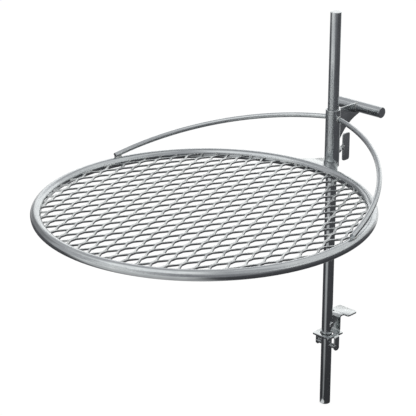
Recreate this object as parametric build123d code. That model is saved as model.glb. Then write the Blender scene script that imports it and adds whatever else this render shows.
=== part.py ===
"""Swivel grill grate on a ground post, with a foot step, a sliding collar and a lock screw.

Millimetres, +Z up. The origin is the centre of the post's foot. +Y runs from the middle of the
grate out through the post to the handle, and +X runs along the handle.
"""
from build123d import *
import os
from math import ceil, cos, degrees, radians, sin, sqrt

# --- driving dimensions -----------------------------------------------------------------------

# post: half-inch pipe, closed at both ends
post_radius = 10.65
post_wall = 2.77
post_height = 810.0
post_edge = 0.8
plug_depth = 8.0

# sleeve that slides and turns on the post
sleeve_radius = 14.3
slide_clearance = 0.8
sleeve_bottom = 510.0
sleeve_length = 112.5
sleeve_edge = 0.4

# grate ring: tube bent to a circle
ring_tube_radius = 9.525
ring_wall = 1.65
ring_radius = 295.3
ring_gap = 40.175
ring_above_sleeve_foot = 8.0

# expanded metal: pitches of the diamond lattice, its strands and its bonds
mesh_thickness = 3.0
mesh_top_rise = 2.2
pitch_across = 25.6
pitch_along = 58.25
strand_width = 3.4
bond_width = 6.2
bond_length = 14.0
lattice_shift_x = 12.3
lattice_shift_y = 2.8

# collar plate between the sleeve and the ring
plate_thickness = 3.0
plate_rise = 4.0
plate_rear_half_width = 17.0
plate_front_half_width = 52.0
plate_rear_y = -2.5

# hoop rods, each a flat arc
hoop_rod_radius = 4.7625
hoop_top_drop = 17.7
hoop_axis_y = 2.0
hoop_foot_angle = 10.25
hoop_foot_outside = 1.75
hoop_sagitta = 60.4
hoop_bite = 3.0
hoop_sink = 0.4

# handle: a length of the post's pipe, closed at both ends
handle_radius = 10.65
handle_wall = 2.77
handle_plug_depth = 6.0
handle_half_length = 58.0
handle_y = 75.0
handle_drop = 11.6
handle_edge = 0.8
gusset_thickness = 3.0
gusset_top_drop = 2.5
gusset_root_drop = 75.0
gusset_waist_y = 49.5
gusset_waist_drop = 35.9
gusset_tip_y = 78.0
gusset_tip_drop = 24.2

# lock screw: M8 nut and bolt with a flat paddle
lock_above_sleeve_foot = 28.5
bolt_radius = 4.0
bolt_tip_back = 0.15
bolt_tip_bevel = 1.0
bolt_hole_clearance = 0.5
nut_across_flats = 13.0
nut_thickness = 7.0
nut_bevel = 0.9
paddle_thickness = 3.0
paddle_near_y = 31.5
paddle_depth = 19.0
paddle_height = 55.0
paddle_corner = 4.5

# foot step: one bent sheet
sheet = 3.0
bend_inside = 2.5
step_top = 155.5
base_half_width = 21.8
base_front_y = -19.5
base_front_corner = 4.0
base_rear_corner = 3.0
base_hole_radius = 13.4
neck_front_y = 25.5
neck_half_width = 11.3
pedal_top = 188.2
pedal_half_width = 23.5
pedal_near_y = 37.5
pedal_far_y = 66.0
pedal_corner = 6.0
pedal_near_corner = 4.0
pedal_neck_fillet = 2.5
tab_outer_x = 25.0
tab_near_y = -4.0
tab_far_y = 9.5
tab_bottom = 124.0
tab_corner = 3.5

# cross stud and stop pin
stud_radius = 4.7625
stud_height = 132.3
pin_height = 177.0
pin_radius = 3.0
pin_head_radius = 5.3
pin_head_thickness = 3.2
pin_head_edge = 1.2
pin_tail_depth = 0.45

# fits
fixed_gap = 0.05
running_gap = 0.1

# welds
weld_leg = 2.6
weld_end_gap = 1.0
foot_bead_radius = 3.6
foot_bead_length = 12.0
gusset_bead_radius = 3.2
handle_bead_radius = 2.6

# --- sizes that follow from them --------------------------------------------------------------

post_bore = post_radius - post_wall
sleeve_bore = post_radius + slide_clearance
sleeve_top = sleeve_bottom + sleeve_length
weld_seat = sleeve_radius + running_gap
ring_outer = ring_radius + ring_tube_radius
ring_offset = ring_outer + ring_gap
ring_height = sleeve_bottom + ring_above_sleeve_foot
lock_height = sleeve_bottom + lock_above_sleeve_foot
plate_top = ring_height + plate_rise
hoop_top_z = sleeve_top - hoop_top_drop
hoop_foot_reach = ring_radius + hoop_foot_outside
hoop_foot_x = hoop_foot_reach * cos(radians(hoop_foot_angle))
hoop_foot_y = hoop_foot_reach * sin(radians(hoop_foot_angle)) - ring_offset
hoop_foot_z = ring_height + ring_tube_radius + hoop_rod_radius - hoop_sink
handle_z = sleeve_top - handle_drop
handle_bore = handle_radius - handle_wall


# --- helpers ----------------------------------------------------------------------------------

def rod_on(axis, radius, start, end, across=0.0, height=0.0):
    """Round bar along x, y or z, from start to end on that axis."""
    length = end - start
    if axis == "x":
        plane = Plane(origin=(start, across, height), x_dir=(0, 1, 0), z_dir=(1, 0, 0))
    elif axis == "y":
        plane = Plane(origin=(across, start, height), x_dir=(1, 0, 0), z_dir=(0, 1, 0))
    else:
        plane = Plane(origin=(across, 0, start), x_dir=(1, 0, 0), z_dir=(0, 0, 1))
    return plane * Cylinder(radius, length, align=(Align.CENTER, Align.CENTER, Align.MIN))


def end_rim(bar, axis, far=True):
    """Rim of a round bar at its far or near end."""
    rims = bar.edges().filter_by(GeomType.CIRCLE).sort_by(axis)
    return rims[-1] if far else rims[0]


def sleeve_envelope():
    """Space that the sleeve needs to turn in, which every welded piece stops at."""
    return rod_on("z", weld_seat, 0, post_height)


def ring_envelope():
    """Solid torus over the ring tube, which pieces seated on the ring stop at."""
    return Pos(0, -ring_offset, ring_height) * Torus(ring_radius, ring_tube_radius + fixed_gap)


def bent_strip(corners, width, width_direction):
    """Strip of sheet bent along its middle line, with square ends."""
    path = FilletPolyline(*corners, radius=bend_inside + sheet / 2)
    start = Plane(origin=path @ 0, x_dir=width_direction, z_dir=path % 0)
    return sweep(start * Rectangle(width, sheet), path=path)


# --- post -------------------------------------------------------------------------------------

def post_tube():
    """Pipe with the cross holes for the stud and the stop pin."""
    tube = rod_on("z", post_radius, 0, post_height)
    tube = fillet(tube.edges().filter_by(GeomType.CIRCLE), post_edge)
    tube -= rod_on("z", post_bore, 0, post_height)
    tube -= rod_on("x", stud_radius + running_gap, -post_radius, post_radius, 0, stud_height)
    tube -= rod_on("x", pin_radius + fixed_gap, -post_radius, post_radius, 0, pin_height)
    return tube


def post_plug(bottom):
    """Flat plug that closes one end of the pipe."""
    return rod_on("z", post_bore - fixed_gap, bottom, bottom + plug_depth)


def stop_pin():
    """Pin through the post with a low rounded head on one side and a flush tail on the other."""
    head_seat = post_radius + fixed_gap
    head_end = head_seat + pin_head_thickness
    pin = rod_on("x", pin_radius, pin_tail_depth - post_radius, head_seat, 0, pin_height)
    head = rod_on("x", pin_head_radius, head_seat, head_end, 0, pin_height)
    return pin + fillet(end_rim(head, Axis.X), pin_head_edge)


# --- foot step --------------------------------------------------------------------------------

def step_base():
    """Flat base plate, notched where the tabs and the neck bend away."""
    neck_bend_y = neck_front_y - bend_inside
    tab_bend_x = tab_outer_x - sheet - bend_inside
    depth = neck_front_y - base_front_y
    outline = Pos(0, base_front_y + depth / 2) * Rectangle(2 * base_half_width, depth)
    outline = fillet(outline.vertices().group_by(Axis.Y)[0], base_front_corner)
    outline = fillet(outline.vertices().group_by(Axis.Y)[-1], base_rear_corner)
    outline -= Pos(0, neck_front_y) * Rectangle(2 * neck_half_width, 2 * bend_inside)
    tab_width = tab_far_y - tab_near_y
    tab_middle = (tab_near_y + tab_far_y) / 2
    for side in (-1, 1):
        notch = Rectangle(2 * tab_outer_x - 2 * tab_bend_x, tab_width)
        outline -= Pos(side * tab_outer_x, tab_middle) * notch
    return Pos(0, 0, step_top - sheet) * extrude(outline, amount=sheet)


def step_tabs():
    """Two tabs bent down from the base plate, drilled for the cross stud."""
    middle_z = step_top - sheet / 2
    middle_x = tab_outer_x - sheet / 2
    tab_middle = (tab_near_y + tab_far_y) / 2
    root_x = middle_x - 2 * sheet - bend_inside
    tab = bent_strip(
        [(root_x, tab_middle, middle_z), (middle_x, tab_middle, middle_z), (middle_x, tab_middle, tab_bottom)],
        tab_far_y - tab_near_y,
        (0, 1, 0),
    )
    corners = tab.edges().filter_by(Axis.X).group_by(Axis.Z)[0]
    tab = chamfer(corners, tab_corner)
    tab -= rod_on("x", stud_radius + fixed_gap, 0, tab_outer_x, 0, stud_height)
    return tab + mirror(tab, Plane.YZ)


def step_neck():
    """Neck bent up from the base plate and out again into the pedal."""
    middle_z = step_top - sheet / 2
    middle_y = neck_front_y + sheet / 2
    pedal_z = pedal_top - sheet / 2
    root_y = neck_front_y - 2 * sheet
    return bent_strip(
        [(0, root_y, middle_z), (0, middle_y, middle_z), (0, middle_y, pedal_z), (0, pedal_near_y, pedal_z)],
        2 * neck_half_width,
        (1, 0, 0),
    )


def step_pedal():
    """Foot plate with rounded corners and a hollow fillet into the neck."""
    depth = pedal_far_y - pedal_near_y
    neck_end = neck_front_y + sheet + bend_inside
    plate = Pos(0, pedal_near_y + depth / 2) * Rectangle(2 * pedal_half_width, depth)
    plate += Pos(0, (neck_end + pedal_far_y) / 2) * Rectangle(2 * neck_half_width, pedal_far_y - neck_end)
    inner = plate.vertices().filter_by_position(Axis.X, -neck_half_width, neck_half_width)
    inner = inner.filter_by_position(Axis.Y, pedal_near_y - 1, pedal_near_y + 1)
    plate = fillet(inner, pedal_neck_fillet)
    outer = plate.vertices().group_by(Axis.Y)[-1]
    plate = fillet(outer, pedal_corner)
    near = plate.vertices().group_by(Axis.X)[0] + plate.vertices().group_by(Axis.X)[-1]
    near = near.filter_by_position(Axis.Y, pedal_near_y - 1, pedal_near_y + 1)
    plate = fillet(near, pedal_near_corner)
    return Pos(0, 0, pedal_top - sheet) * extrude(plate, amount=sheet)


def step_bracket():
    """The whole foot step as one bent sheet, with the hole that bites the post."""
    bracket = step_base() + step_tabs() + step_neck() + step_pedal()
    return bracket - rod_on("z", base_hole_radius, step_top - 2 * sheet, step_top + sheet)


def cross_stud():
    """Rod through the post from the outer face of one tab to the other."""
    return rod_on("x", stud_radius, -tab_outer_x, tab_outer_x, 0, stud_height)


# --- collar -----------------------------------------------------------------------------------

def collar_sleeve():
    """Tube that slides and turns on the post, with the hole for the lock screw."""
    sleeve = rod_on("z", sleeve_radius, sleeve_bottom, sleeve_top)
    sleeve = chamfer(sleeve.edges().filter_by(GeomType.CIRCLE), sleeve_edge)
    sleeve -= rod_on("z", sleeve_bore, sleeve_bottom, sleeve_top)
    sleeve -= rod_on("y", bolt_radius + bolt_hole_clearance, 0, sleeve_radius, 0, lock_height)
    return sleeve


def collar_plate():
    """Flat plate that widens from the sleeve to the ring, hollowed to both."""
    reach = ring_outer + fixed_gap
    front_y = sqrt(reach ** 2 - plate_front_half_width ** 2) - ring_offset
    past_x = plate_front_half_width + ring_tube_radius
    slope = (plate_rear_y - front_y) / (plate_front_half_width - plate_rear_half_width)
    past_y = front_y - ring_tube_radius * slope
    outline = make_face(Polyline(
        (-plate_rear_half_width, plate_rear_y),
        (plate_rear_half_width, plate_rear_y),
        (past_x, past_y),
        (-past_x, past_y),
        close=True,
    ))
    outline -= Circle(weld_seat)
    outline -= Pos(0, -ring_offset) * Circle(reach)
    return Pos(0, 0, plate_top - plate_thickness) * extrude(outline, amount=plate_thickness)


# --- grate ------------------------------------------------------------------------------------

def grate_ring():
    """Tube bent to a full circle and welded shut."""
    tube = Torus(ring_radius, ring_tube_radius) - Torus(ring_radius, ring_tube_radius - ring_wall)
    return Pos(0, -ring_offset, ring_height) * tube


def diamond_hole():
    """One opening of the expanded metal: a long hexagon between four strands and two bonds."""
    half_width = (pitch_across - bond_width) / 2
    tip = (pitch_along - bond_length) / 2
    # the slanted side leaves a strand of the wanted width to the next opening
    across = pitch_across / 2
    overlap = half_width * (2 * tip - pitch_along / 2)
    square = across ** 2 - strand_width ** 2
    root = (across * overlap) ** 2 - square * (overlap ** 2 - (strand_width * half_width) ** 2)
    side = tip - (across * overlap + sqrt(root)) / square
    return Polyline(
        (half_width, side),
        (0, tip),
        (-half_width, side),
        (-half_width, -side),
        (0, -tip),
        (half_width, -side),
        close=True,
    )


def hole_centres(reach):
    """Centres of all openings whose middle lies within reach of the grate's middle."""
    columns = ceil(reach / pitch_across) + 1
    rows = ceil(reach / pitch_along) + 1
    centres = []
    for shift in (0, 0.5):
        for row in range(-rows, rows + 1):
            for column in range(-columns, columns + 1):
                x = lattice_shift_x + (column + 0.5 + shift) * pitch_across
                y = lattice_shift_y + (row + shift) * pitch_along
                if x * x + y * y < reach * reach:
                    centres.append((x, y))
    return centres


def grate_mesh():
    """Expanded-metal disc: the lattice cut to a circle that fits inside the ring."""
    disc_radius = ring_radius - ring_tube_radius - fixed_gap
    hole = diamond_hole()
    far_corner = max(sqrt(v.X ** 2 + v.Y ** 2) for v in hole.vertices())
    whole = []
    cut = []
    for x, y in hole_centres(disc_radius + far_corner):
        placed = Pos(x, y) * hole
        inside = all(v.X ** 2 + v.Y ** 2 < disc_radius ** 2 for v in placed.vertices())
        if inside:
            whole.append(Wire(placed.edges()))
        else:
            cut.append(make_face(placed))
    sheet_face = Face(Wire(Circle(disc_radius).edges()), whole)
    sheet_face = Sketch() + sheet_face - cut
    largest = max(sheet_face.faces(), key=lambda face: face.area)
    disc = extrude(largest, amount=mesh_thickness, dir=(0, 0, 1))
    return Pos(0, -ring_offset, ring_height + mesh_top_rise - mesh_thickness) * disc


# --- hoops ------------------------------------------------------------------------------------

def hoop_path():
    """Flat arc of the right hoop, from inside the sleeve wall down to the top of the ring."""
    top = Vector(sleeve_radius - hoop_bite, hoop_axis_y, hoop_top_z)
    foot = Vector(hoop_foot_x, hoop_foot_y, hoop_foot_z)
    fall = Vector(0, foot.Y - top.Y, foot.Z - top.Z)
    normal = fall.cross(Vector(1, 0, 0))
    outward = (foot - top).cross(normal).normalized()
    if outward.X < 0:
        outward = -outward
    middle = (top + foot) * 0.5 + outward * hoop_sagitta
    return ThreePointArc(top, middle, foot)


def hoop_rod():
    """Full rod along the arc, before its ends are fitted."""
    path = hoop_path()
    start = Plane(origin=path @ 0, z_dir=path % 0)
    return sweep(start * Circle(hoop_rod_radius), path=path)


def hoop():
    """Right hoop, coped to the sleeve and resting on the ring."""
    return hoop_rod() - sleeve_envelope() - ring_envelope()


# --- handle -----------------------------------------------------------------------------------

def gusset_outline():
    """Side view of the handle gusset: straight top, hollow lower edge."""
    root = (0, weld_seat, sleeve_top - gusset_root_drop)
    waist = (0, gusset_waist_y, sleeve_top - gusset_waist_drop)
    tip = (0, gusset_tip_y, sleeve_top - gusset_tip_drop)
    top_z = sleeve_top - gusset_top_drop
    lower_edge = ThreePointArc(root, waist, tip)
    rest = Polyline(tip, (0, gusset_tip_y, handle_z), (0, handle_y, top_z), (0, weld_seat, top_z), root)
    return make_face(lower_edge + rest)


def handle_envelope():
    """Space of the handle bar, which the gusset and its welds stop at."""
    return rod_on("x", handle_radius + fixed_gap, -handle_half_length, handle_half_length, handle_y, handle_z)


def handle_gusset():
    """Plate between the sleeve and the handle bar, coped to the bar."""
    plate = extrude(gusset_outline(), amount=gusset_thickness / 2, both=True)
    return plate - handle_envelope() - sleeve_envelope()


def handle_bar():
    """Length of pipe across the end of the gusset."""
    bar = rod_on("x", handle_radius, -handle_half_length, handle_half_length, handle_y, handle_z)
    bar = chamfer(bar.edges().filter_by(GeomType.CIRCLE), handle_edge)
    return bar - rod_on("x", handle_bore, -handle_half_length, handle_half_length, handle_y, handle_z)


def handle_plug():
    """Flat plug that closes the right end of the handle."""
    start = handle_half_length - handle_plug_depth
    return rod_on("x", handle_bore - fixed_gap, start, handle_half_length, handle_y, handle_z)


# --- lock screw -------------------------------------------------------------------------------

def nut_blank():
    """Plain hexagon of the nut, from its seat on the sleeve outwards, with two flats level."""
    seat = Plane(origin=(0, weld_seat, lock_height), x_dir=(1, 0, 0), z_dir=(0, 1, 0))
    hexagon = RegularPolygon(nut_across_flats / 2, 6, major_radius=False)
    return seat * extrude(hexagon, amount=nut_thickness, dir=(0, 0, 1))


def lock_nut():
    """Hexagon nut on the outside of the sleeve, its corners bevelled at the free end."""
    corner_radius = nut_across_flats / 2 / cos(radians(30)) + fixed_gap
    turned = rod_on("y", corner_radius, weld_seat, weld_seat + nut_thickness, 0, lock_height)
    turned = chamfer(end_rim(turned, Axis.Y), nut_bevel)
    bore = rod_on("y", bolt_radius + running_gap, weld_seat, weld_seat + nut_thickness, 0, lock_height)
    return (nut_blank() & turned) - bore


def lock_bolt():
    """Screw through the nut, shown slackened so that its tip clears the turning sleeve."""
    tip_y = weld_seat + bolt_tip_back
    bolt = rod_on("y", bolt_radius, tip_y, paddle_near_y, 0, lock_height)
    return chamfer(end_rim(bolt, Axis.Y, far=False), bolt_tip_bevel)


def lock_paddle():
    """Flat thumb plate across the end of the screw."""
    middle = Plane(
        origin=(0, paddle_near_y + paddle_depth / 2, lock_height), x_dir=(0, 1, 0), z_dir=(1, 0, 0)
    )
    outline = RectangleRounded(paddle_depth, paddle_height, paddle_corner)
    return middle * extrude(outline, amount=paddle_thickness / 2, both=True)


# --- welds ------------------------------------------------------------------------------------

def plate_welds():
    """Beads under the collar plate, along the sleeve and along the ring."""
    plate_foot = plate_top - plate_thickness
    below = Pos(0, plate_rear_y, plate_foot) * Box(
        4 * plate_front_half_width, 2 * ring_offset, 2 * weld_leg, align=(Align.CENTER, Align.MAX, Align.MAX)
    )
    collar_bead = Pos(0, 0, plate_foot) * Torus(weld_seat, weld_leg)
    collar_bead = (collar_bead & below) - sleeve_envelope()
    spread = 2 * degrees(plate_front_half_width / ring_outer)
    turn = Rot(0, 0, 90 - spread / 2)
    ring_bead = turn * Torus(ring_outer, weld_leg, major_angle=spread, align=None)
    ring_bead = Pos(0, -ring_offset, plate_foot) * ring_bead
    ring_bead = (ring_bead & below) - ring_envelope()
    return Compound(children=[*collar_bead.solids(), *ring_bead.solids()])


def hoop_top_weld():
    """Bead round the right hoop where it meets the sleeve."""
    path = hoop_path()
    start = Plane(origin=path @ 0, z_dir=path % 0)
    reach = hoop_bite + weld_leg
    bead = start * Cone(
        hoop_rod_radius + weld_leg, hoop_rod_radius + fixed_gap, reach,
        align=(Align.CENTER, Align.CENTER, Align.MIN),
    )
    return bead - hoop_rod() - sleeve_envelope()


def hoop_foot_weld():
    """Bead in the wedge between the last stretch of the right hoop and the ring under it."""
    path = hoop_path()
    end = path @ 1
    back = (path % 1) * -1
    level = Vector(back.X, back.Y, 0).normalized()
    seat = Vector(end.X, end.Y, ring_height + ring_tube_radius)
    start = Plane(origin=seat + level * weld_end_gap, z_dir=level)
    bead = start * Cylinder(foot_bead_radius, foot_bead_length, align=(Align.CENTER, Align.CENTER, Align.MIN))
    return bead - hoop_rod() - ring_envelope()


def gusset_welds():
    """Beads on both sides of the gusset, along the sleeve and round the handle bar."""
    root_z = sleeve_top - gusset_root_drop
    top_z = sleeve_top - gusset_top_drop
    slab = Box(gusset_thickness, 4 * handle_y, 2 * post_height)
    sleeve_bead = Pos(0, weld_seat, 0) * rod_on("z", gusset_bead_radius, root_z, top_z)
    sleeve_bead = sleeve_bead - slab - sleeve_envelope()
    handle_seat = Plane(origin=(0, handle_y, handle_z), x_dir=(0, 1, 0), z_dir=(1, 0, 0))
    bar_bead = handle_seat * Torus(handle_radius + fixed_gap, handle_bead_radius)
    wide_gusset = extrude(gusset_outline(), amount=handle_bead_radius, both=True)
    bar_bead = (bar_bead & wide_gusset) - slab - handle_envelope()
    return Compound(children=[*sleeve_bead.solids(), *bar_bead.solids()])


def nut_weld():
    """Bead that fills the wedge between the flat nut and the round sleeve."""
    base = rod_on("y", nut_across_flats / 2 + weld_leg, 0, weld_seat + weld_leg / 2, 0, lock_height)
    bore = rod_on("y", bolt_radius + bolt_hole_clearance, 0, 2 * weld_seat, 0, lock_height)
    return base - nut_blank() - bore - sleeve_envelope()


def paddle_weld():
    """Bead on both sides of the paddle round the end of the screw."""
    foot = Plane(origin=(0, paddle_near_y - weld_leg / 2, lock_height), x_dir=(1, 0, 0), z_dir=(0, 1, 0))
    bead = foot * Cone(
        bolt_radius + weld_leg / 2, bolt_radius - weld_leg / 2, 2 * weld_leg,
        align=(Align.CENTER, Align.CENTER, Align.MIN),
    )
    bolt = rod_on("y", bolt_radius, 0, paddle_near_y, 0, lock_height)
    return bead - bolt - lock_paddle()


# --- export -----------------------------------------------------------------------------------

def mirrored_pair(shape):
    """A piece together with its mirror image on the other side."""
    other = mirror(shape, Plane.YZ)
    return Compound(children=[*shape.solids(), *other.solids()])


nodes = {
    "post_tube": post_tube(),
    "post_top_plug": post_plug(post_height - plug_depth),
    "post_foot_plug": post_plug(0),
    "stop_pin": stop_pin(),
    "step_bracket": step_bracket(),
    "cross_stud": cross_stud(),
    "collar_sleeve": collar_sleeve(),
    "collar_plate": collar_plate(),
    "grate_ring": grate_ring(),
    "grate_mesh": grate_mesh(),
    "hoop_right": hoop(),
    "hoop_left": mirror(hoop(), Plane.YZ),
    "handle_gusset": handle_gusset(),
    "handle_bar": handle_bar(),
    "handle_plugs": mirrored_pair(handle_plug()),
    "lock_nut": lock_nut(),
    "lock_bolt": lock_bolt(),
    "lock_paddle": lock_paddle(),
    "plate_welds": plate_welds(),
    "hoop_top_welds": mirrored_pair(hoop_top_weld()),
    "hoop_foot_welds": mirrored_pair(hoop_foot_weld()),
    "gusset_welds": gusset_welds(),
    "nut_weld": nut_weld(),
    "paddle_weld": paddle_weld(),
}

os.makedirs("parts", exist_ok=True)
for name, shape in nodes.items():
    export_step(shape, f"parts/{name}.step")
    print(name, round(shape.volume / 1000, 2), "cm3")
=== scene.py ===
import random
import bmesh
import bpy
from math import atan2, ceil, cos, hypot, pi, radians, sin, sqrt
from mathutils import Euler, Matrix, Vector


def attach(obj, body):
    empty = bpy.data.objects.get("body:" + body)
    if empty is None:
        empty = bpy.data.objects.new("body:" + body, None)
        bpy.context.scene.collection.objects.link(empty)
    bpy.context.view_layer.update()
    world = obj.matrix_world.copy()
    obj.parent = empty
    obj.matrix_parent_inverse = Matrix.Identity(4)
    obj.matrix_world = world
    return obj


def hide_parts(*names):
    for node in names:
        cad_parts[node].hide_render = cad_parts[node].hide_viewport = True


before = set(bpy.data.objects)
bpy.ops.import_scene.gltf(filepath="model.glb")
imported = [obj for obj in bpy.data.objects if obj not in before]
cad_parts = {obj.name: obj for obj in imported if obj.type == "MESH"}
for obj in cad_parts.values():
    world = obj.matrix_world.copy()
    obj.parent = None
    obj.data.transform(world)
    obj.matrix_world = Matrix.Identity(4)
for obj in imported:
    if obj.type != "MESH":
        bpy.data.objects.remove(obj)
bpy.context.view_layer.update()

scene = bpy.context.scene
mm = 0.001  # sizes below are in millimetres, Blender's are in metres
tiny = 0.000001  # merge distance for doubled vertices
crease = radians(32)  # edges sharper than this stay crisp


# camera and view

view = {
    "location": (1751.8, -2099.7, 1476.7),
    "azimuth": 44.8,
    "elevation": 21.144,
    "roll": -0.146,
    "lens": 130.76,
    "sensor": 36.0,
}


def setCamera():
    lens = bpy.data.cameras.new("camera")
    lens.lens = view["lens"]
    lens.sensor_width = view["sensor"]
    camera = bpy.data.objects.new("camera", lens)
    turn = Euler((radians(90 - view["elevation"]), 0, radians(view["azimuth"]))).to_matrix()
    turn = turn @ Matrix.Rotation(radians(view["roll"]), 3, "Z")
    camera.matrix_world = Matrix.Translation(Vector(view["location"]) * mm) @ turn.to_4x4()
    scene.collection.objects.link(camera)
    scene.camera = camera
    scene.view_settings.view_transform = "Standard"


setCamera()
print("camera set")


# nodes and colours

def linear(code):
    channels = [int(code[i:i + 2], 16) / 255 for i in (1, 3, 5)]
    return tuple(c / 12.92 if c <= 0.04045 else ((c + 0.055) / 1.055) ** 2.4 for c in channels) + (1,)


def addNode(tree, kind, settings=None, links=None):
    node = tree.nodes.new(kind)
    for key, value in (settings or {}).items():
        if isinstance(key, str) and hasattr(node, key):
            setattr(node, key, value)
        else:
            node.inputs[key].default_value = value
    for key, output in (links or {}).items():
        tree.links.new(output, node.inputs[key])
    return node


def newMaterial(name):
    material = bpy.data.materials.new(name)
    material.use_nodes = True
    material.node_tree.nodes.clear()
    return material, material.node_tree


# metal finishes

grate = {"centre": (0.0, -345.0, 518.0), "radius": 295.3, "meshReach": 285.725}

# real grinding and rolling lines are about 0.1 mm apart and would not show, so scratchSize is 0.9 to 2 mm
finish = {
    "light": "#C3C7C8", "dark": "#B8BCBE", "cloudSize": 45.0, "cloudDetail": 4, "cloudFineness": 0.55,
    "cloudSpan": (0.35, 0.65), "streak": "#A9ACAF", "streakShare": 0.25, "streakSpan": (0.3, 0.62),
    "grain": (1, 1, 1), "scratchSize": 1.2, "scratchDetail": 3, "scratchFineness": 0.6,
    "scratchSpan": (0.3, 0.7), "scratchDepth": 0.02, "pitSize": 2.2, "pitDetail": 2, "pitDepth": 0.02,
    "roughness": (0.13, 0.20), "bump": 0.06,
}


def tuned(**changes):
    return {**finish, **changes}


def alongAxis(tree, stretch):
    place = addNode(tree, "ShaderNodeTexCoord").outputs["Object"]
    return addNode(tree, "ShaderNodeMapping", {"Scale": stretch}, {"Vector": place}).outputs["Vector"]


# the way round the ring becomes X, so that lines can follow the bend
def roundGrate(tree, stretch):
    place = addNode(tree, "ShaderNodeTexCoord").outputs["Object"]
    moved = addNode(tree, "ShaderNodeMapping", {"Location": [-c * mm for c in grate["centre"]]},
                    {"Vector": place}).outputs["Vector"]
    parts = addNode(tree, "ShaderNodeSeparateXYZ", links={"Vector": moved}).outputs
    angle = addNode(tree, "ShaderNodeMath", {"operation": "ARCTAN2"}, {0: parts["Y"], 1: parts["X"]})
    arc = addNode(tree, "ShaderNodeMath", {"operation": "MULTIPLY", 1: grate["radius"] * mm},
                  {0: angle.outputs[0]})
    flat = addNode(tree, "ShaderNodeVectorMath", {"operation": "MULTIPLY", 1: (1, 1, 0)}, {0: moved})
    reach = addNode(tree, "ShaderNodeVectorMath", {"operation": "LENGTH"}, {0: flat.outputs[0]})
    joined = addNode(tree, "ShaderNodeCombineXYZ", links={
        "X": arc.outputs[0], "Y": reach.outputs["Value"], "Z": parts["Z"]}).outputs[0]
    return addNode(tree, "ShaderNodeMapping", {"Scale": stretch}, {"Vector": joined}).outputs["Vector"]


def metal(name, values, mapping):
    material, tree = newMaterial(name)
    line = mapping(tree, values["grain"])
    place = addNode(tree, "ShaderNodeTexCoord").outputs["Object"]
    scratches = addNode(tree, "ShaderNodeTexNoise", {
        "Scale": 1 / (values["scratchSize"] * mm), "Detail": values["scratchDetail"],
        "Roughness": values["scratchFineness"]}, {"Vector": line}).outputs["Fac"]
    clouds = addNode(tree, "ShaderNodeTexNoise", {
        "Scale": 1 / (values["cloudSize"] * mm), "Detail": values["cloudDetail"],
        "Roughness": values["cloudFineness"]}, {"Vector": place}).outputs["Fac"]
    pits = addNode(tree, "ShaderNodeTexNoise", {
        "Scale": 1 / (values["pitSize"] * mm), "Detail": values["pitDetail"]},
        {"Vector": place}).outputs["Fac"]
    tones = []
    for source, span, low, high in (
            (clouds, values["cloudSpan"], values["dark"], values["light"]),
            (scratches, values["streakSpan"], values["streak"], "#FFFFFF")):
        share = addNode(tree, "ShaderNodeMapRange", {"From Min": span[0], "From Max": span[1]},
                        {"Value": source}).outputs["Result"]
        tones.append(addNode(tree, "ShaderNodeMix", {
            "data_type": "RGBA", "A": linear(low), "B": linear(high)}, {"Factor": share}).outputs[2])
    colour = addNode(tree, "ShaderNodeMix", {
        "data_type": "RGBA", "blend_type": "MULTIPLY", "Factor": values["streakShare"]},
        {"A": tones[0], "B": tones[1]}).outputs[2]
    rough = addNode(tree, "ShaderNodeMapRange", {
        "From Min": values["scratchSpan"][0], "From Max": values["scratchSpan"][1],
        "To Min": values["roughness"][0], "To Max": values["roughness"][1]},
        {"Value": scratches}).outputs["Result"]
    bump = addNode(tree, "ShaderNodeBump", {
        "Strength": values["bump"], "Distance": values["scratchDepth"] * mm}, {"Height": scratches})
    bump = addNode(tree, "ShaderNodeBump", {
        "Strength": values["bump"], "Distance": values["pitDepth"] * mm},
        {"Height": pits, "Normal": bump.outputs["Normal"]})
    shader = addNode(tree, "ShaderNodeBsdfPrincipled", {"Metallic": 1.0}, {
        "Base Color": colour, "Roughness": rough, "Normal": bump.outputs["Normal"]})
    addNode(tree, "ShaderNodeOutputMaterial", links={"Surface": shader.outputs["BSDF"]})
    return material


# ground stainless pipe: long faint grinding lines that run up the pipe and stretch its highlight
groundPipe = metal("groundStainlessPipe", tuned(
    grain=(1, 1, 0.03), scratchSize=2.0, streakShare=0.2), alongAxis)

# handle: a length of the same pipe, laid across
groundHandle = metal("groundStainlessHandle", tuned(
    grain=(0.03, 1, 1), scratchSize=2.0, streakShare=0.2), alongAxis)

# bent ring tube: the same ground tube, its lines following the bend
groundRing = metal("groundStainlessRing", tuned(grain=(0.04, 1, 1)), roundGrate)

# drawn round bar: smoother than the pipe, with soft patches left by bending
drawnBar = metal("drawnStainlessBar", tuned(
    scratchSize=1.6, streakShare=0.12, roughness=(0.14, 0.19), cloudSize=30.0, bump=0.03), alongAxis)

# cut sheet: rolled face with short grain, a little duller than the tube
rolledSheet = metal("rolledStainlessSheet", tuned(
    grain=(1, 0.12, 1), light="#CDD1D1", dark="#C4C8C8", roughness=(0.16, 0.21), cloudSize=18.0,
    scratchSize=2.0, streakShare=0.1, bump=0.02), alongAxis)

# expanded and flattened mesh: bright rolled faces with fine scratches in no one direction
flattenedMesh = metal("flattenedStainlessMesh", tuned(
    light="#C9CCCB", dark="#BBBEBE", scratchSize=0.9, cloudSize=20.0, roughness=(0.20, 0.28),
    bump=0.05), alongAxis)

# fasteners: turned faces and rolled threads, with small bright highlights
brightFastener = metal("brightStainlessFastener", tuned(
    light="#CDD0D0", dark="#B9BCBD", cloudSize=6.0, pitSize=0.9, roughness=(0.20, 0.32)), alongAxis)

# weld beads: cleaned silver ripples, paler than the parent metal
cleanedWeld = metal("cleanedStainlessWeld", tuned(
    light="#D8DAD8", dark="#BDBEBC", cloudSize=5.0, pitSize=0.8, pitDepth=0.05,
    roughness=(0.26, 0.42)), alongAxis)

print("finishes made")


# pieces

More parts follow.
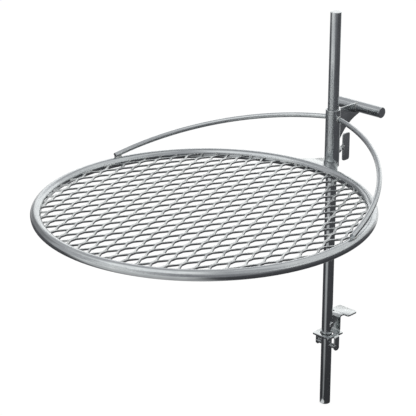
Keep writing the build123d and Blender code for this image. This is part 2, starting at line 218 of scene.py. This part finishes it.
def newPiece(name, bm, material, body, nodes=()):
    bmesh.ops.remove_doubles(bm, verts=bm.verts, dist=tiny)
    mesh = bpy.data.meshes.new(name)
    bm.to_mesh(mesh)
    bm.free()
    mesh.materials.append(material)
    mesh.shade_smooth()
    mesh.set_sharp_from_angle(angle=crease)
    piece = bpy.data.objects.new(name, mesh)
    scene.collection.objects.link(piece)
    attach(piece, body)
    if nodes:
        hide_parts(*nodes)


softening = {"flatAngle": radians(1), "sharpAngle": radians(40), "segments": 2,
             "sheetEdge": 0.25, "meshEdge": 0.3}


def softenedCopy(node, width):
    bm = bmesh.new()
    bm.from_mesh(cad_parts[node].data)
    bmesh.ops.remove_doubles(bm, verts=bm.verts, dist=tiny)
    bmesh.ops.dissolve_limit(bm, angle_limit=softening["flatAngle"], verts=bm.verts, edges=bm.edges)
    sharp = [edge for edge in bm.edges
             if edge.is_manifold and edge.calc_face_angle(0) > softening["sharpAngle"]]
    bmesh.ops.bevel(bm, geom=sharp, offset=width * mm, offset_type="OFFSET", segments=softening["segments"],
                    profile=0.5, affect="EDGES", clamp_overlap=True, material=-1)
    return bm


# cut sheet parts, deburred along their edges
sheetParts = {
    "step_bracket": ("footStep", "step"),
    "collar_plate": ("collarPlate", "grill"),
    "handle_gusset": ("handleGusset", "grill"),
    "lock_paddle": ("lockPaddle", "lock_screw"),
}
for node, (name, body) in sheetParts.items():
    newPiece(name, softenedCopy(node, softening["sheetEdge"]), rolledSheet, body, [node])
print("sheet parts softened")


# threads

threadForm = {"rootEnd": 0.12, "crestStart": 0.44, "crestEnd": 0.56, "rootStart": 0.88, "steps": 28}


def threadedRod(rod):
    turns = ceil(rod["length"] / rod["pitch"]) + 2
    root = rod["radius"] - rod["depth"]
    profile = ((root, 0.0), (root, threadForm["rootEnd"]), (rod["radius"], threadForm["crestStart"]),
               (rod["radius"], threadForm["crestEnd"]), (root, threadForm["rootStart"]), (root, 1.0))
    bm = bmesh.new()
    chain = [bm.verts.new((reach * mm, 0, (share - 1) * rod["pitch"] * mm)) for reach, share in profile]
    edges = [bm.edges.new(pair) for pair in zip(chain, chain[1:])]
    steps = threadForm["steps"]
    bmesh.ops.spin(bm, geom=chain + edges, cent=(0, 0, 0), axis=(0, 0, 1), angle=2 * pi * turns,
                   dvec=(0, 0, rod["pitch"] * mm / steps), steps=steps * turns, use_merge=False)
    bmesh.ops.remove_doubles(bm, verts=bm.verts, dist=tiny)
    for height, normal in ((0, (0, 0, -1)), (rod["length"] * mm, (0, 0, 1))):
        everything = bm.verts[:] + bm.edges[:] + bm.faces[:]
        bmesh.ops.bisect_plane(bm, geom=everything, plane_co=(0, 0, height), plane_no=normal,
                               clear_outer=True)
    rims = [edge for edge in bm.edges if edge.is_boundary]
    bmesh.ops.holes_fill(bm, edges=rims, sides=0)
    bmesh.ops.recalc_face_normals(bm, faces=bm.faces)
    bmesh.ops.transform(bm, matrix=rod["turn"].to_4x4(), verts=bm.verts)
    bmesh.ops.translate(bm, vec=Vector(rod["start"]) * mm, verts=bm.verts)
    return bm


# 3/8 inch rod, 16 threads to the inch
crossStud = {"radius": 4.76, "depth": 0.85, "pitch": 1.5875, "length": 50.0,
             "start": (-25.0, 0, 132.3), "turn": Matrix.Rotation(pi / 2, 3, "Y")}
newPiece("threadedStud", threadedRod(crossStud), brightFastener, "step", ["cross_stud"])

# M8 screw
lockScrew = {"radius": 4.0, "depth": 0.7, "pitch": 1.25, "length": 16.9,
             "start": (0, 14.56, 538.5), "turn": Matrix.Rotation(-pi / 2, 3, "X")}
newPiece("lockScrew", threadedRod(lockScrew), brightFastener, "lock_screw", ["lock_bolt"])
print("threads cut")


# grate mesh

newPiece("grateMesh", softenedCopy("grate_mesh", softening["meshEdge"]), flattenedMesh, "grill",
         ["grate_mesh"])
print("grate mesh softened")


# weld beads, laid as overlapping puddles

weld = {"seat": 14.42, "pitch": 1.5, "puddle": 1.7, "voxel": 0.3, "segments": 14, "rings": 9,
        "unevenness": (0.94, 1.06), "smoothing": 0.4}
dice = random.Random(7)


def runAlong(start, end, pitch):
    start, end = Vector(start), Vector(end)
    count = max(1, round((end - start).length / pitch))
    return [start.lerp(end, i / count) for i in range(count + 1)]


def runRound(centre, side, up, radius, first, last, pitch):
    count = max(1, round(radians(abs(last - first)) * radius / pitch))
    angles = [radians(first + (last - first) * i / count) for i in range(count + 1)]
    return [Vector(centre) + radius * (Vector(side) * cos(a) + Vector(up) * sin(a)) for a in angles]


# slides a point along a heading until it meets the sleeve
def ontoSleeve(point, heading):
    a = heading.x ** 2 + heading.y ** 2
    b = point.x * heading.x + point.y * heading.y
    c = point.x ** 2 + point.y ** 2 - weld["seat"] ** 2
    return point + heading * ((sqrt(b * b - a * c) - b) / a)


# one closed skin round overlapping puddles
def fused(bm, voxel):
    mesh = bpy.data.meshes.new("fused")
    bm.to_mesh(mesh)
    bm.free()
    holder = bpy.data.objects.new("fused", mesh)
    scene.collection.objects.link(holder)
    remesh = holder.modifiers.new("remesh", "REMESH")
    remesh.mode = "VOXEL"
    remesh.voxel_size = voxel * mm
    joined = bpy.data.meshes.new_from_object(holder.evaluated_get(bpy.context.evaluated_depsgraph_get()))
    bpy.data.objects.remove(holder)
    result = bmesh.new()
    result.from_mesh(joined)
    return result


def layWeld(name, runs, body, node):
    bm = bmesh.new()
    for size, points in runs:
        for i, point in enumerate(points):
            along = points[min(i + 1, len(points) - 1)] - points[max(i - 1, 0)]
            turn = along.to_track_quat("Z", "Y").to_matrix().to_4x4()
            reach = size * dice.uniform(*weld["unevenness"]) * mm
            shape = Matrix.Diagonal((reach, reach, weld["puddle"] * mm, 1))
            bmesh.ops.create_uvsphere(bm, u_segments=weld["segments"], v_segments=weld["rings"], radius=1.0,
                                      matrix=Matrix.Translation(point * mm) @ turn @ shape)
    bm = fused(bm, weld["voxel"])
    bmesh.ops.smooth_vert(bm, verts=bm.verts, factor=weld["smoothing"],
                          use_axis_x=True, use_axis_y=True, use_axis_z=True)
    for vert in bm.verts:  # nothing reaches into the sleeve
        reach = hypot(vert.co.x, vert.co.y)
        if reach < weld["seat"] * mm:
            vert.co.x *= weld["seat"] * mm / reach
            vert.co.y *= weld["seat"] * mm / reach
    newPiece(name, bm, cleanedWeld, body, [node])


hoopWeld = {"start": (11.3, 2.0, 604.8), "heading": (0.9678, -0.2442, -0.0605), "rod": 4.7625,
            "clear": 0.4, "size": 1.15}
heading = Vector(hoopWeld["heading"])
side = heading.cross(Vector((0, 0, 1))).normalized()
loop = runRound(hoopWeld["start"], side, side.cross(heading), hoopWeld["rod"] + hoopWeld["clear"], 0, 360,
                weld["pitch"])
loop = [ontoSleeve(point, heading) for point in loop]
runs = [(hoopWeld["size"], [Vector((sign * p.x, p.y, p.z)) for p in loop]) for sign in (1, -1)]
layWeld("hoopTopWelds", runs, "grill", "hoop_top_welds")

footWeld = {"seat": (292.31, -292.14, 527.5), "level": (-0.1832, 0.9831, 0.0), "aside": 2.9,
            "near": 1.5, "far": 11.5, "nearRise": 0.3, "farRise": 1.3, "size": 1.7}
level = Vector(footWeld["level"])
across = Vector((level.y, -level.x, 0)) * footWeld["aside"]
runs = []
for sign in (1, -1):
    for edge in (1, -1):
        ends = [Vector(footWeld["seat"]) + level * footWeld[reach] + edge * across
                + Vector((0, 0, footWeld[rise]))
                for reach, rise in (("near", "nearRise"), ("far", "farRise"))]
        ends = [Vector((sign * p.x, p.y, p.z)) for p in ends]
        runs.append((footWeld["size"], runAlong(ends[0], ends[1], weld["pitch"])))
layWeld("hoopFootWelds", runs, "grill", "hoop_foot_welds")

gussetWeld = {"side": 1.9, "rootY": 14.7, "low": 548.5, "high": 619.0, "size": 1.5,
              "bar": (75.0, 610.9), "barRadius": 10.75, "barFirst": 128, "barLast": 268, "barSize": 1.3}
runs = []
for sign in (1, -1):
    x = sign * gussetWeld["side"]
    y = gussetWeld["rootY"]
    barY, barZ = gussetWeld["bar"]
    root = runAlong((x, y, gussetWeld["low"]), (x, y, gussetWeld["high"]), weld["pitch"])
    bar = runRound((x, barY, barZ), (0, 1, 0), (0, 0, 1), gussetWeld["barRadius"],
                   gussetWeld["barFirst"], gussetWeld["barLast"], weld["pitch"])
    runs += [(gussetWeld["size"], root), (gussetWeld["barSize"], bar)]
layWeld("gussetWelds", runs, "grill", "gusset_welds")

nutWeld = {"centre": (0, 0, 538.5), "radius": 7.1, "seat": 14.4, "lift": 0.2, "size": 1.5}
loop = runRound(nutWeld["centre"], (1, 0, 0), (0, 0, 1), nutWeld["radius"], 0, 360, weld["pitch"])
for point in loop:
    point.y = (sqrt(weld["seat"] ** 2 - point.x ** 2) + nutWeld["seat"]) / 2 + nutWeld["lift"]
layWeld("nutWeld", [(nutWeld["size"], loop)], "grill", "nut_weld")

# each row: aside, distance from the post, half length, bead radius
paddleWeld = {"height": 538.5, "rows": ((2.7, 32.1, 3.0, 1.5), (2.2, 33.6, 2.0, 1.3))}
runs = []
for sign in (1, -1):
    for x, y, reach, size in paddleWeld["rows"]:
        middle = paddleWeld["height"]
        ends = [(sign * x, y, middle - reach), (sign * x, y, middle + reach)]
        runs.append((size, runAlong(*ends, weld["pitch"])))
layWeld("paddleWeld", runs, "lock_screw", "paddle_weld")

plateWeld = {"height": 518.5, "sleeve": 14.8, "sleeveSpan": (-168, -12), "ring": 305.3,
             "ringSpan": (80.4, 99.6), "size": 1.5}
low = plateWeld["height"]
runs = [
    (plateWeld["size"], runRound((0, 0, low), (1, 0, 0), (0, 1, 0), plateWeld["sleeve"],
                                 *plateWeld["sleeveSpan"], weld["pitch"])),
    (plateWeld["size"], runRound((0, grate["centre"][1], low), (1, 0, 0), (0, 1, 0), plateWeld["ring"],
                                 *plateWeld["ringSpan"], weld["pitch"])),
]
layWeld("plateWelds", runs, "grill", "plate_welds")
print("weld beads laid")


# tack welds where the mesh meets the ring

tack = {"reach": 285.5, "height": 519.9, "size": (1.5, 2.1, 1.1), "gap": 0.012, "edge": 0.2,
        "drift": 0.002, "unevenness": (0.85, 1.15), "segments": 8, "rings": 5}


# angles at which the mesh's strands end, from the mesh itself
def strandEnds():
    middle = Vector(grate["centre"]) * mm
    angles = []
    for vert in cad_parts["grate_mesh"].data.vertices:
        x, y = vert.co.x - middle.x, vert.co.y - middle.y
        if hypot(x, y) > (grate["meshReach"] - tack["edge"]) * mm:
            angles.append(atan2(y, x))
    angles.sort()
    groups = [[angles[0]]]
    for angle in angles[1:]:
        if angle - groups[-1][-1] > tack["gap"]:
            groups.append([])
        groups[-1].append(angle)
    return [(group[0] + group[-1]) / 2 for group in groups]


bm = bmesh.new()
for angle in strandEnds():
    angle += dice.uniform(-tack["drift"], tack["drift"])
    centre = Vector(grate["centre"]) + Vector((cos(angle), sin(angle), 0)) * tack["reach"]
    centre.z = tack["height"]
    spread = [width * dice.uniform(*tack["unevenness"]) * mm for width in tack["size"]]
    shape = Matrix.Rotation(angle, 4, "Z") @ Matrix.Diagonal((*spread, 1))
    bmesh.ops.create_uvsphere(bm, u_segments=tack["segments"], v_segments=tack["rings"], radius=1.0,
                              matrix=Matrix.Translation(centre * mm) @ shape)
newPiece("meshTacks", bm, cleanedWeld, "grill")
print("mesh tacked to the ring")


# remaining parts keep their solids

kept = {
    groundPipe: ("post_tube", "post_top_plug", "post_foot_plug", "collar_sleeve"),
    groundHandle: ("handle_bar", "handle_plugs"),
    groundRing: ("grate_ring",),
    drawnBar: ("hoop_left", "hoop_right"),
    brightFastener: ("stop_pin", "lock_nut"),
}
for material, names in kept.items():
    for name in names:
        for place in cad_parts[name].material_slots:
            place.material = material
print("finishes put on the solids")


# studio

# sizes from here on are in metres
studio = {
    "floorSize": 30.0,
    "floorDrop": 0.0006,
    "floorGlow": 0.93,
    "floorShade": (0.10, 0.10, 0.10, 1),
    "skyDiffuse": 0.88,
    "centre": (0.0, -0.02, 0.0),
    "lampAim": (0, -0.25, 0.5),
    # segments round each painted-reflection sheet
    "paintedReflectionSteps": 64,
}


def showOnly(obj, **seen):
    for ray in ("camera", "diffuse", "glossy", "transmission", "shadow"):
        setattr(obj, "visible_" + ray, seen.get(ray, False))


def newStage(name, bm, material):
    mesh = bpy.data.meshes.new(name)
    bm.to_mesh(mesh)
    bm.free()
    mesh.materials.append(material)
    card = bpy.data.objects.new(name, mesh)
    scene.collection.objects.link(card)
    return card


# 1 for what is seen directly or mirrored, 0 for what only lights
def seenRay(tree):
    path = addNode(tree, "ShaderNodeLightPath").outputs
    some = addNode(tree, "ShaderNodeMath", {"operation": "MAXIMUM"}, {
        0: path["Is Camera Ray"], 1: path["Is Glossy Ray"]})
    some = addNode(tree, "ShaderNodeMath", {"operation": "MAXIMUM"}, {
        0: some.outputs[0], 1: path["Is Transmission Ray"]})
    return some.outputs[0]


def floorPaint():
    material, tree = newMaterial("paleFloor")
    paint = addNode(tree, "ShaderNodeBsdfDiffuse", {"Color": linear("#F2F2F2")})
    shade = addNode(tree, "ShaderNodeBsdfDiffuse", {"Color": studio["floorShade"]})
    glow = addNode(tree, "ShaderNodeEmission", {"Color": (1, 1, 1, 1), "Strength": studio["floorGlow"]})
    white = addNode(tree, "ShaderNodeAddShader", links={0: shade.outputs[0], 1: glow.outputs[0]})
    mixed = addNode(tree, "ShaderNodeMixShader", links={
        0: seenRay(tree), 1: paint.outputs[0], 2: white.outputs[0]})
    addNode(tree, "ShaderNodeOutputMaterial", links={"Surface": mixed.outputs[0]})
    return material


def setWorld():
    world = bpy.data.worlds.new("studio")
    world.use_nodes = True
    tree = world.node_tree
    tree.nodes.clear()
    soft = addNode(tree, "ShaderNodeBackground", {"Color": (1, 1, 1, 1), "Strength": studio["skyDiffuse"]})
    white = addNode(tree, "ShaderNodeBackground", {"Color": (1, 1, 1, 1), "Strength": 1.0})
    mixed = addNode(tree, "ShaderNodeMixShader", links={
        0: seenRay(tree), 1: soft.outputs[0], 2: white.outputs[0]})
    addNode(tree, "ShaderNodeOutputWorld", links={"Surface": mixed.outputs[0]})
    scene.world = world


def fromCamera(turn):
    angle = radians(view["azimuth"] - 90 + turn)
    return Vector((cos(angle), sin(angle), 0))


# painted reflection: a sheet that glows in its dark or grey tone where it is closed and is clear where it is
# open
def paintedReflectionMaterial(paintedReflection):
    material, tree = newMaterial(paintedReflection["name"])
    place = addNode(tree, "ShaderNodeTexCoord").outputs["Object"]
    moved = addNode(tree, "ShaderNodeVectorMath", {"operation": "SUBTRACT", 1: studio["centre"]},
                    {0: place}).outputs[0]
    flat = addNode(tree, "ShaderNodeVectorMath", {"operation": "MULTIPLY", 1: (1, 1, 0)}, {0: moved})
    unit = addNode(tree, "ShaderNodeVectorMath", {"operation": "NORMALIZE"}, {0: flat.outputs[0]}).outputs[0]
    sides = [addNode(tree, "ShaderNodeVectorMath", {"operation": "DOT_PRODUCT", 1: fromCamera(side)},
                     {0: unit}).outputs["Value"] for side in paintedReflection["openSides"]]
    facing = sides[0]
    for side in sides[1:]:
        facing = addNode(tree, "ShaderNodeMath", {"operation": "MAXIMUM"}, {0: side, 1: facing}).outputs[0]
    reach = addNode(tree, "ShaderNodeVectorMath", {"operation": "LENGTH"}, {0: moved}).outputs["Value"]
    wider = addNode(tree, "ShaderNodeMapRange", {
        "From Min": paintedReflection["near"], "From Max": paintedReflection["far"], "To Min": 0.0, "To Max": paintedReflection["spread"]},
        {"Value": reach}).outputs["Result"]
    facing = addNode(tree, "ShaderNodeMath", {"operation": "ADD"}, {0: facing, 1: wider}).outputs[0]
    light = addNode(tree, "ShaderNodeMapRange", {
        "From Min": paintedReflection["closed"], "From Max": paintedReflection["open"]}, {"Value": facing}).outputs["Result"]
    far = addNode(tree, "ShaderNodeMapRange", {
        "From Min": paintedReflection["near"], "From Max": paintedReflection["far"], "To Min": paintedReflection["nearLight"], "To Max": 1.0},
        {"Value": reach}).outputs["Result"]
    light = addNode(tree, "ShaderNodeMath", {"operation": "MULTIPLY"}, {0: light, 1: far}).outputs[0]
    height = addNode(tree, "ShaderNodeSeparateXYZ", links={0: moved}).outputs["Z"]
    above = addNode(tree, "ShaderNodeMapRange", {
        "interpolation_type": "SMOOTHSTEP", "From Min": paintedReflection["fadeFrom"], "From Max": paintedReflection["fadeTo"]},
        {"Value": height}).outputs["Result"]
    light = addNode(tree, "ShaderNodeMath", {"operation": "MAXIMUM"}, {0: light, 1: above}).outputs[0]
    strength = addNode(tree, "ShaderNodeMapRange", {
        "From Min": paintedReflection["near"], "From Max": paintedReflection["far"], "To Min": 1.0, "To Max": paintedReflection["rise"]},
        {"Value": reach}).outputs["Result"]
    clear = addNode(tree, "ShaderNodeBsdfTransparent")
    # the painted dark or grey reflection, glowing up to rise times stronger away from the centre
    dark = addNode(tree, "ShaderNodeEmission", {"Color": paintedReflection["tone"]}, {"Strength": strength})
    mixed = addNode(tree, "ShaderNodeMixShader", links={0: light, 1: dark.outputs[0], 2: clear.outputs[0]})
    addNode(tree, "ShaderNodeOutputMaterial", links={"Surface": mixed.outputs[0]})
    return material


# painted reflections: dark and grey sheets that glow and that only glossy rays see, put round the metal
# object to paint dark and grey reflections onto it; each is clear towards its open sides, in degrees from
# the camera, and above its fade, and its tone is linear light. The floor sheet is darker near the object,
# painting the shade under it into the reflections
plainPaintedReflection = {"spread": 0.0, "near": 0.0, "far": 0.1, "nearLight": 1.0, "rise": 1.0}
paintedReflections = (
    {"name": "floorPaintedReflection", "profile": ((0.01, 0.0004), (3.0, 0.0004)), "openSides": (-43, 172),
     "closed": 0.9, "open": 1.01, "fadeFrom": 1.0, "fadeTo": 2.0, "tone": (0.06, 0.06, 0.065, 1),
     "spread": 0.16, "near": 0.1, "far": 2.0, "nearLight": 0.4, "rise": 2.2},
    {**plainPaintedReflection, "name": "skirtPaintedReflection", "profile": ((2.95, 0.0), (2.95, 1.2)), "openSides": (-45, 175),
     "closed": 0.55, "open": 0.85, "fadeFrom": 0.4, "fadeTo": 1.2, "tone": (0.12, 0.12, 0.13, 1)},
    {**plainPaintedReflection, "name": "lensPaintedReflection", "profile": ((2.9, 0.0), (2.9, 3.4)), "openSides": (180,),
     "closed": -1.0, "open": -0.7, "fadeFrom": 1.2, "fadeTo": 3.3, "tone": (0.35, 0.35, 0.37, 1)},
    {**plainPaintedReflection, "name": "cornerPaintedReflection", "profile": ((2.85, 0.45), (2.85, 2.4)), "openSides": (55,),
     "closed": -0.97, "open": -0.8, "fadeFrom": 3.0, "fadeTo": 4.0, "tone": (0.33, 0.33, 0.34, 1)},
    {**plainPaintedReflection, "name": "sidePaintedReflection", "profile": ((2.8, 0.3), (2.8, 2.8)), "openSides": (93,),
     "closed": -0.98, "open": -0.93, "fadeFrom": 2.2, "fadeTo": 2.8, "tone": (0.62, 0.62, 0.64, 1)},
    {**plainPaintedReflection, "name": "ceilingPaintedReflection", "profile": ((2.9, 2.0), (2.2, 3.4), (0.01, 3.6)),
     "openSides": (-55, 105), "closed": 0.45, "open": 0.8, "fadeFrom": 3.7, "fadeTo": 3.8,
     "tone": (0.62, 0.62, 0.64, 1)},
)


# spins each painted-reflection sheet round the object and lets only glossy rays see it
def hangPaintedReflection(paintedReflection):
    bm = bmesh.new()
    ends = [bm.verts.new((reach, 0, height)) for reach, height in paintedReflection["profile"]]
    edges = [bm.edges.new(pair) for pair in zip(ends, ends[1:])]
    bmesh.ops.spin(bm, geom=ends + edges, cent=(0, 0, 0), axis=(0, 0, 1), angle=2 * pi,
                   steps=studio["paintedReflectionSteps"], use_merge=True)
    bmesh.ops.translate(bm, vec=studio["centre"], verts=bm.verts)
    showOnly(newStage(paintedReflection["name"], bm, paintedReflectionMaterial(paintedReflection)), glossy=True)


lamps = {
    "left": {"turn": -50, "elevation": 55, "distance": 3.0, "width": 2.6, "height": 2.4, "glow": 0.35},
    "back": {"turn": 172, "elevation": 18, "distance": 2.6, "width": 3.8, "height": 1.5, "glow": 0.4},
}


def setLamps():
    aim = Vector(studio["lampAim"])
    for name, lamp in lamps.items():
        light = bpy.data.lights.new(name, "AREA")
        light.shape = "RECTANGLE"
        light.size = lamp["width"]
        light.size_y = lamp["height"]
        light.energy = lamp["glow"] * pi * lamp["width"] * lamp["height"]
        holder = bpy.data.objects.new(name, light)
        azimuth = radians(view["azimuth"] + lamp["turn"])
        turn = Euler((radians(90 - lamp["elevation"]), 0, azimuth)).to_matrix()
        place = aim + turn @ Vector((0, 0, lamp["distance"]))
        holder.matrix_world = Matrix.Translation(place) @ turn.to_4x4()
        scene.collection.objects.link(holder)


def layFloor():
    bm = bmesh.new()
    bmesh.ops.create_grid(bm, x_segments=1, y_segments=1, size=studio["floorSize"] / 2)
    bmesh.ops.translate(bm, vec=(0, 0, -studio["floorDrop"]), verts=bm.verts)
    newStage("floor", bm, floorPaint())


setWorld()
layFloor()
# hang the painted-reflection sheets
for paintedReflection in paintedReflections:
    hangPaintedReflection(paintedReflection)
setLamps()
print("studio lit")
